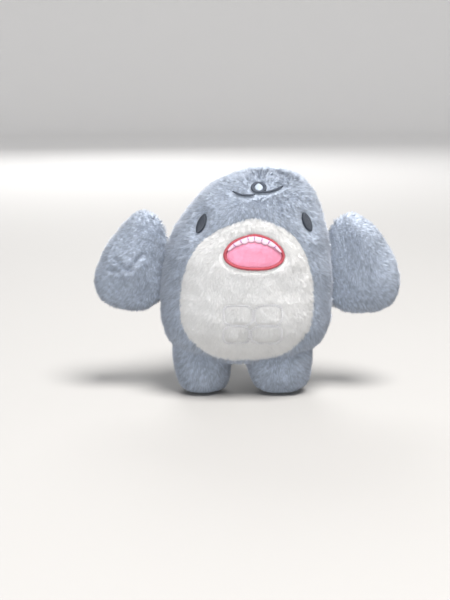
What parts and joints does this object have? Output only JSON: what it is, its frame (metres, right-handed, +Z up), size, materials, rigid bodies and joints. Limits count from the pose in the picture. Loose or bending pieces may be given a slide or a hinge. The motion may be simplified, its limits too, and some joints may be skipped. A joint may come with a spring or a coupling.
{
  "type": "plush shark",
  "caption": "Standing plush shark with a white belly panel, embroidered face, stuffed side flippers, stub legs, back fin and tail on soft sewn hinges.",
  "frame": {"origin": "on the floor, under the middle of the bounding box", "axes": "+X towards the toy's own left, -Y the way its face looks, +Z up"},
  "size_m": [0.2667, 0.1501, 0.2],
  "materials": {
    "grey_plush": "matte",
    "white_plush": "matte",
    "red_embroidery": "matte",
    "pink_felt": "matte",
    "white_embroidery": "matte",
    "slate_embroidery": "matte",
    "grey_thread": "matte",
    "white_thread": "matte",
    "stuffing": "matte"
  },
  "bodies": {
    "torso": {"body_front_panel": "grey_plush", "belly_panel": "white_plush", "back_panel_left": "grey_plush", "back_panel_right": "grey_plush", "body_stuffing": "stuffing", "mouth_outline": "red_embroidery", "mouth_patch": "pink_felt", "teeth_strip": "white_embroidery", "eye_left": "slate_embroidery", "eye_right": "slate_embroidery", "snout_ring": "slate_embroidery", "snout_dot": "white_embroidery", "snout_line_left": "slate_embroidery", "snout_line_right": "slate_embroidery", "belly_stitch_upper_left": "white_thread", "belly_stitch_upper_right": "white_thread", "belly_stitch_lower_left": "white_thread", "belly_stitch_lower_right": "white_thread", "closing_seam": "grey_thread"},
    "flipper_left": {"flipper_left_front_panel": "grey_plush", "flipper_left_back_panel": "grey_plush", "flipper_left_stuffing": "stuffing"},
    "leg_left": {"leg_left_front_panel": "grey_plush", "leg_left_back_panel": "grey_plush", "leg_left_sole": "grey_plush", "leg_left_stuffing": "stuffing"},
    "flipper_right": {"flipper_right_front_panel": "grey_plush", "flipper_right_back_panel": "grey_plush", "flipper_right_stuffing": "stuffing"},
    "leg_right": {"leg_right_front_panel": "grey_plush", "leg_right_back_panel": "grey_plush", "leg_right_sole": "grey_plush", "leg_right_stuffing": "stuffing"},
    "tail": {"tail_panel_left": "grey_plush", "tail_panel_right": "grey_plush", "tail_stuffing": "stuffing"},
    "dorsal_fin": {"dorsal_fin_panel_left": "grey_plush", "dorsal_fin_panel_right": "grey_plush", "dorsal_fin_stuffing": "stuffing"}
  },
  "joints": [
    {"name": "flipper_left_swing", "type": "hinge", "parent": "torso", "child": "flipper_left", "pos_m": [0.07515, -0.0236, 0.105], "axis": [0, 0, 1], "range_deg": [-40, 40], "stiffness_Nm_per_rad": 0.02},
    {"name": "flipper_right_swing", "type": "hinge", "parent": "torso", "child": "flipper_right", "pos_m": [-0.07785, -0.0236, 0.105], "axis": [0, 0, -1], "range_deg": [-40, 40], "stiffness_Nm_per_rad": 0.02},
    {"name": "leg_left_swing", "type": "hinge", "parent": "torso", "child": "leg_left", "pos_m": [0.0285, -0.0236, 0.027], "axis": [1, 0, 0], "range_deg": [-18, 18], "stiffness_Nm_per_rad": 0.4},
    {"name": "leg_right_swing", "type": "hinge", "parent": "torso", "child": "leg_right", "pos_m": [-0.0395, -0.0236, 0.027], "axis": [1, 0, 0], "range_deg": [-18, 18], "stiffness_Nm_per_rad": 0.4},
    {"name": "tail_wag", "type": "hinge", "parent": "torso", "child": "tail", "pos_m": [-0.0015, 0.02541, 0.06375], "axis": [0, 0.2079, 0.9781], "range_deg": [-25, 25], "stiffness_Nm_per_rad": 0.01},
    {"name": "dorsal_fin_flop", "type": "hinge", "parent": "torso", "child": "dorsal_fin", "pos_m": [0.00072, 0.0244, 0.13423], "axis": [0, -0.1908, 0.9816], "range_deg": [-20, 20], "stiffness_Nm_per_rad": 0.01}
  ]
}
